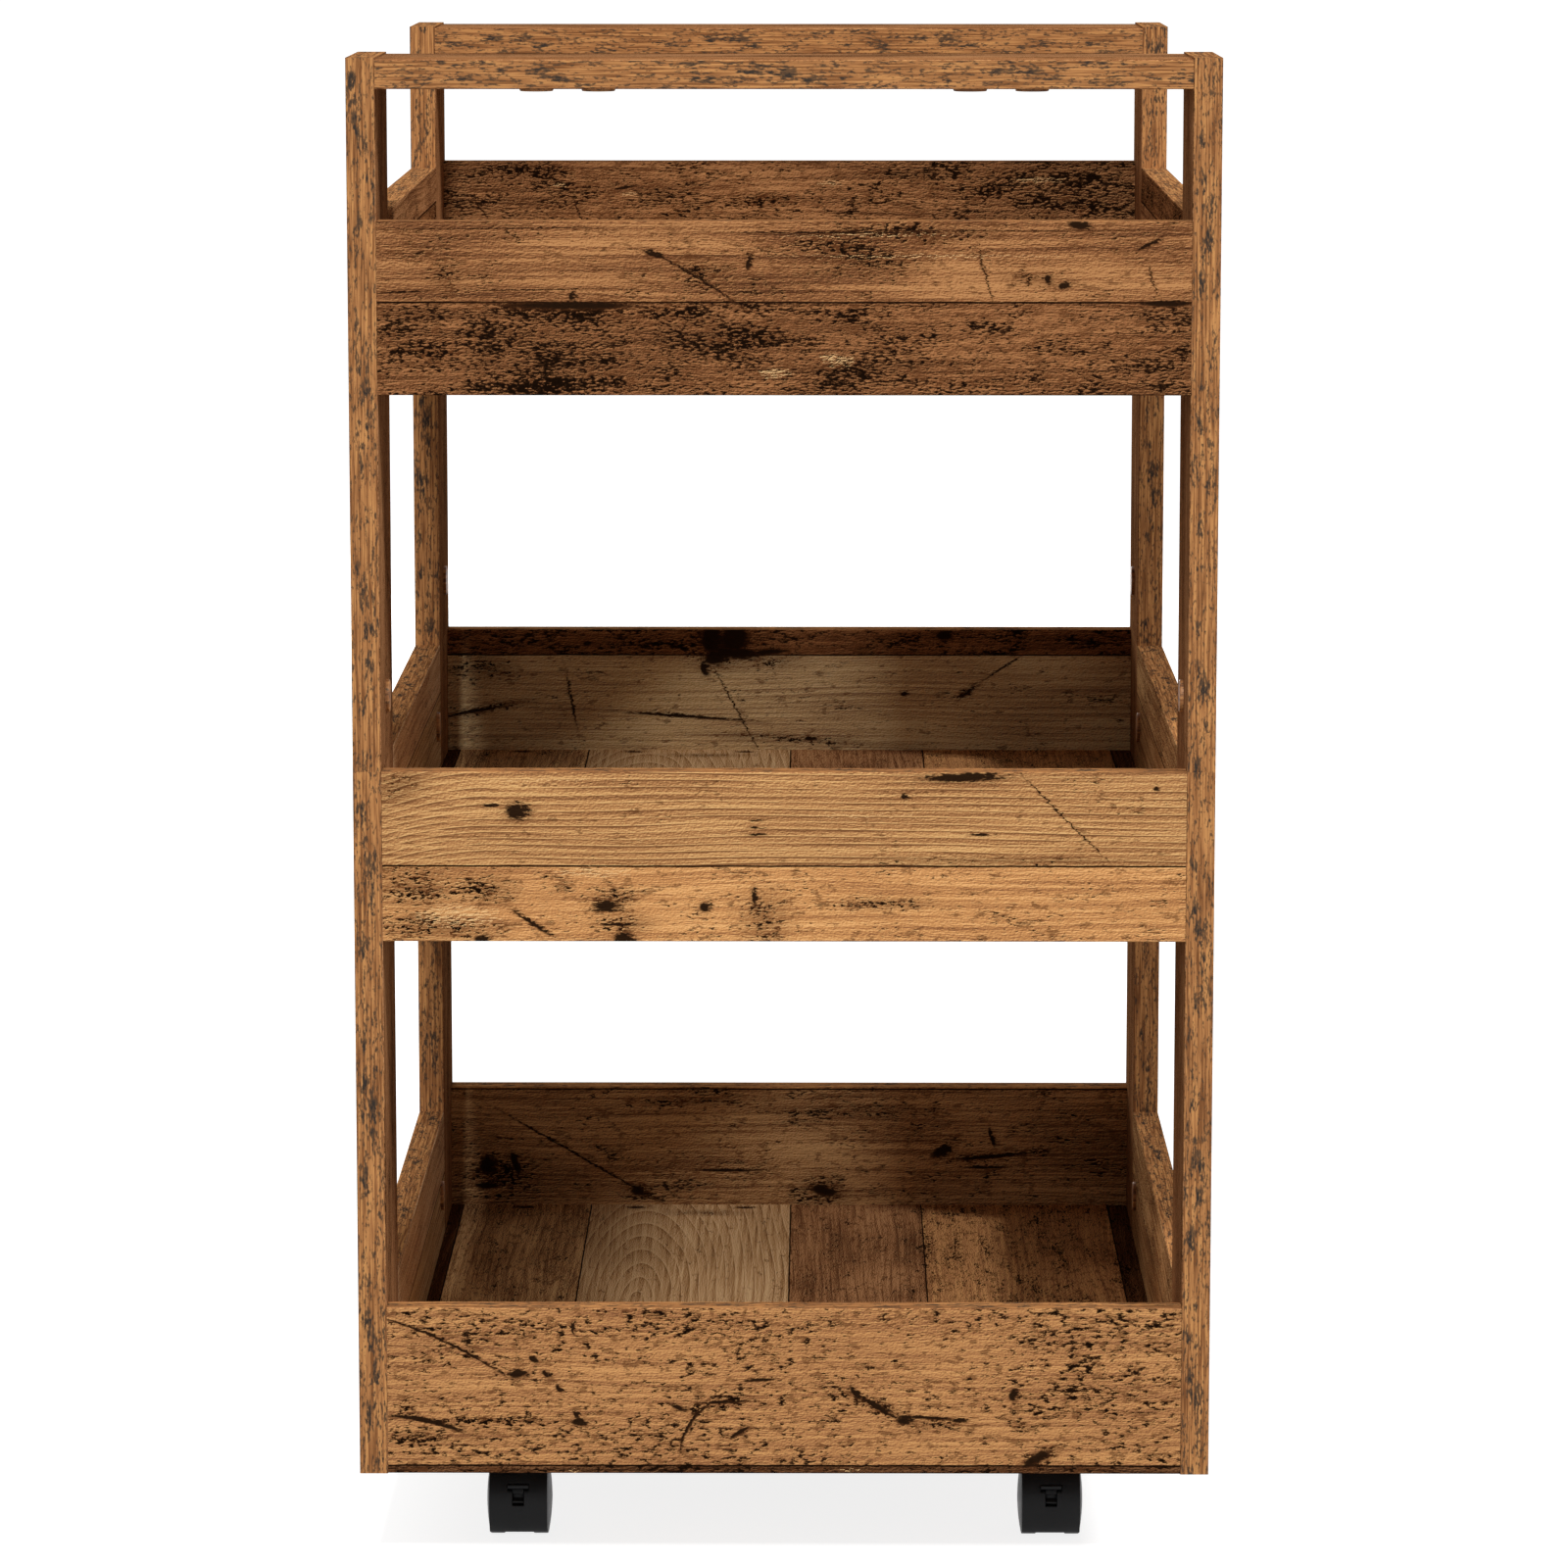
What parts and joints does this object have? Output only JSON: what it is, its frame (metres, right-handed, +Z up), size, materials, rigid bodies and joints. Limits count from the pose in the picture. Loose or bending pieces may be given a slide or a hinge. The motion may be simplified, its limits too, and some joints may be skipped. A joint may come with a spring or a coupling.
{
  "type": "kitchen cart",
  "caption": "Open kitchen cart: three box trays between board posts, flat push rails at the ends, twin-wheel casters.",
  "frame": {"origin": "on the floor under the middle of the cart, level with the wheels' contact", "axes": "+Z up, -Y towards the front shown in the picture, +X to the right seen from the front"},
  "size_m": [0.45, 0.6, 0.8],
  "materials": {
    "old_wood_board": "satin printed decor",
    "cast_zinc": "cast",
    "zinc_plated_steel": "zinc plated",
    "beech": "raw",
    "wood_tone_plastic": "printed, matt",
    "black_nylon": "moulded, fine texture",
    "black_wheel_plastic": "moulded, satin"
  },
  "bodies": {
    "cart": {"post_upper_front_left": "old_wood_board", "post_upper_front_right": "old_wood_board", "post_upper_rear_left": "old_wood_board", "post_upper_rear_right": "old_wood_board", "post_lower_front_left": "old_wood_board", "post_lower_front_right": "old_wood_board", "post_lower_rear_left": "old_wood_board", "post_lower_rear_right": "old_wood_board", "rail_front": "old_wood_board", "rail_rear": "old_wood_board", "tray_top_front": "old_wood_board", "tray_top_rear": "old_wood_board", "tray_top_left": "old_wood_board", "tray_top_right": "old_wood_board", "tray_top_floor": "old_wood_board", "tray_middle_front": "old_wood_board", "tray_middle_rear": "old_wood_board", "tray_middle_left": "old_wood_board", "tray_middle_right": "old_wood_board", "tray_middle_floor": "old_wood_board", "tray_bottom_front": "old_wood_board", "tray_bottom_rear": "old_wood_board", "tray_bottom_left": "old_wood_board", "tray_bottom_right": "old_wood_board", "tray_bottom_floor": "old_wood_board", "cam_housings": "cast_zinc", "cam_bolts": "zinc_plated_steel", "dowels": "beech", "confirmat_screws": "zinc_plated_steel", "confirmat_caps": "wood_tone_plastic", "cover_caps": "wood_tone_plastic", "caster_screws": "zinc_plated_steel", "plate_front_left": "zinc_plated_steel", "plate_front_right": "zinc_plated_steel", "plate_rear_left": "zinc_plated_steel", "plate_rear_right": "zinc_plated_steel", "stem_front_left": "zinc_plated_steel", "stem_front_right": "zinc_plated_steel", "stem_rear_left": "zinc_plated_steel", "stem_rear_right": "zinc_plated_steel"},
    "caster_front_left": {"housing_front_left": "black_nylon", "axle_front_left": "zinc_plated_steel"},
    "wheel_front_left_outer_body": {"wheel_front_left_outer": "black_wheel_plastic"},
    "wheel_front_left_inner_body": {"wheel_front_left_inner": "black_wheel_plastic"},
    "brake_front_left": {"brake_lever_front_left": "black_nylon"},
    "caster_front_right": {"housing_front_right": "black_nylon", "axle_front_right": "zinc_plated_steel"},
    "wheel_front_right_outer_body": {"wheel_front_right_outer": "black_wheel_plastic"},
    "wheel_front_right_inner_body": {"wheel_front_right_inner": "black_wheel_plastic"},
    "brake_front_right": {"brake_lever_front_right": "black_nylon"},
    "caster_rear_left": {"housing_rear_left": "black_nylon", "axle_rear_left": "zinc_plated_steel"},
    "wheel_rear_left_outer_body": {"wheel_rear_left_outer": "black_wheel_plastic"},
    "wheel_rear_left_inner_body": {"wheel_rear_left_inner": "black_wheel_plastic"},
    "caster_rear_right": {"housing_rear_right": "black_nylon", "axle_rear_right": "zinc_plated_steel"},
    "wheel_rear_right_outer_body": {"wheel_rear_right_outer": "black_wheel_plastic"},
    "wheel_rear_right_inner_body": {"wheel_rear_right_inner": "black_wheel_plastic"}
  },
  "joints": [
    {"name": "swivel_front_left", "type": "hinge", "parent": "cart", "child": "caster_front_left", "pos_m": [-0.144, -0.207, 0.035], "axis": [0, 0, 1], "continuous": true},
    {"name": "spin_front_left_outer", "type": "hinge", "parent": "caster_front_left", "child": "wheel_front_left_outer_body", "pos_m": [-0.1557, -0.222, 0.02], "axis": [1, 0, 0], "continuous": true},
    {"name": "spin_front_left_inner", "type": "hinge", "parent": "caster_front_left", "child": "wheel_front_left_inner_body", "pos_m": [-0.1323, -0.222, 0.02], "axis": [1, 0, 0], "continuous": true},
    {"name": "brake_front_left", "type": "hinge", "parent": "caster_front_left", "child": "brake_front_left", "pos_m": [-0.144, -0.23349, 0.02301], "axis": [1, 0, 0], "range_deg": [0, 8]},
    {"name": "swivel_front_right", "type": "hinge", "parent": "cart", "child": "caster_front_right", "pos_m": [0.144, -0.207, 0.035], "axis": [0, 0, 1], "continuous": true},
    {"name": "spin_front_right_outer", "type": "hinge", "parent": "caster_front_right", "child": "wheel_front_right_outer_body", "pos_m": [0.1557, -0.222, 0.02], "axis": [1, 0, 0], "continuous": true},
    {"name": "spin_front_right_inner", "type": "hinge", "parent": "caster_front_right", "child": "wheel_front_right_inner_body", "pos_m": [0.1323, -0.222, 0.02], "axis": [1, 0, 0], "continuous": true},
    {"name": "brake_front_right", "type": "hinge", "parent": "caster_front_right", "child": "brake_front_right", "pos_m": [0.144, -0.23349, 0.02301], "axis": [1, 0, 0], "range_deg": [0, 8]},
    {"name": "swivel_rear_left", "type": "hinge", "parent": "cart", "child": "caster_rear_left", "pos_m": [-0.144, 0.207, 0.035], "axis": [0, 0, 1], "continuous": true},
    {"name": "spin_rear_left_outer", "type": "hinge", "parent": "caster_rear_left", "child": "wheel_rear_left_outer_body", "pos_m": [-0.1557, 0.222, 0.02], "axis": [1, 0, 0], "continuous": true},
    {"name": "spin_rear_left_inner", "type": "hinge", "parent": "caster_rear_left", "child": "wheel_rear_left_inner_body", "pos_m": [-0.1323, 0.222, 0.02], "axis": [1, 0, 0], "continuous": true},
    {"name": "swivel_rear_right", "type": "hinge", "parent": "cart", "child": "caster_rear_right", "pos_m": [0.144, 0.207, 0.035], "axis": [0, 0, 1], "continuous": true},
    {"name": "spin_rear_right_outer", "type": "hinge", "parent": "caster_rear_right", "child": "wheel_rear_right_outer_body", "pos_m": [0.1557, 0.222, 0.02], "axis": [1, 0, 0], "continuous": true},
    {"name": "spin_rear_right_inner", "type": "hinge", "parent": "caster_rear_right", "child": "wheel_rear_right_inner_body", "pos_m": [0.1323, 0.222, 0.02], "axis": [1, 0, 0], "continuous": true}
  ]
}
